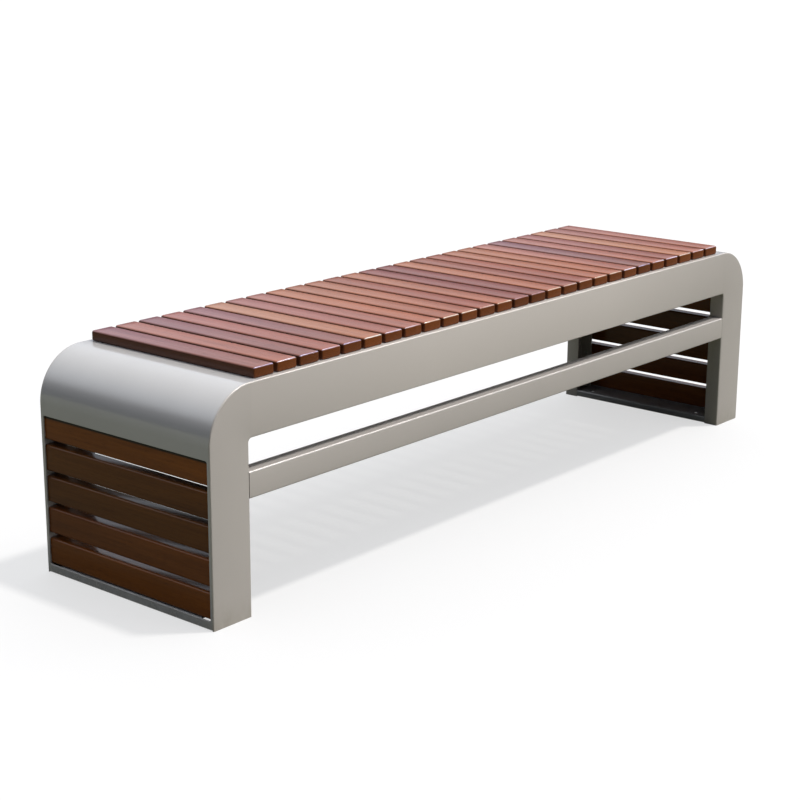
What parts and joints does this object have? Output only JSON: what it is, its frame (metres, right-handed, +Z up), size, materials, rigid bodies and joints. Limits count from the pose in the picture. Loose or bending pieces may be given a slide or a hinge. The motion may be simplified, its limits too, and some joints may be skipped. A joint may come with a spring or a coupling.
{
  "type": "bench",
  "caption": "Backless street bench: crosswise hardwood seat slats on two channel side frames, with rolled steel end shells whose windows hold horizontal slats.",
  "frame": {"origin": "on the floor, under the middle of the seat", "axes": "+X runs along the length of the bench, -Y faces the viewer's side frame (the front), +Z is up"},
  "size_m": [1.8, 0.45, 0.45],
  "materials": {
    "seat_timber": "oiled, satin gloss",
    "end_timber": "oiled, satin",
    "frame_paint": "satin powder coat",
    "shell_paint": "glossy powder coat",
    "tube_steel": "satin powder coat",
    "screw_steel": "stainless, satin"
  },
  "bodies": {
    "root": {"seat_slat_01": "seat_timber", "seat_slat_02": "seat_timber", "seat_slat_03": "seat_timber", "seat_slat_04": "seat_timber", "seat_slat_05": "seat_timber", "seat_slat_06": "seat_timber", "seat_slat_07": "seat_timber", "seat_slat_08": "seat_timber", "seat_slat_09": "seat_timber", "seat_slat_10": "seat_timber", "seat_slat_11": "seat_timber", "seat_slat_12": "seat_timber", "seat_slat_13": "seat_timber", "seat_slat_14": "seat_timber", "seat_slat_15": "seat_timber", "seat_slat_16": "seat_timber", "seat_slat_17": "seat_timber", "seat_slat_18": "seat_timber", "seat_slat_19": "seat_timber", "seat_slat_20": "seat_timber", "seat_slat_21": "seat_timber", "seat_slat_22": "seat_timber", "seat_slat_23": "seat_timber", "seat_slat_24": "seat_timber", "seat_slat_25": "seat_timber", "seat_slat_26": "seat_timber", "seat_slat_27": "seat_timber", "left_end_slat_1": "end_timber", "left_end_slat_2": "end_timber", "left_end_slat_3": "end_timber", "left_end_slat_4": "end_timber", "left_end_slat_5": "end_timber", "right_end_slat_1": "end_timber", "right_end_slat_2": "end_timber", "right_end_slat_3": "end_timber", "right_end_slat_4": "end_timber", "right_end_slat_5": "end_timber", "front_top_rail": "frame_paint", "rear_top_rail": "frame_paint", "front_stretcher": "frame_paint", "rear_stretcher": "frame_paint", "front_left_leg": "frame_paint", "front_right_leg": "frame_paint", "rear_left_leg": "frame_paint", "rear_right_leg": "frame_paint", "left_end_shell": "shell_paint", "right_end_shell": "shell_paint", "left_base_bar": "frame_paint", "right_base_bar": "frame_paint", "left_cross_tube": "tube_steel", "right_cross_tube": "tube_steel", "middle_bearer": "tube_steel", "seat_screws": "screw_steel", "end_screws": "screw_steel"}
  },
  "joints": []
}
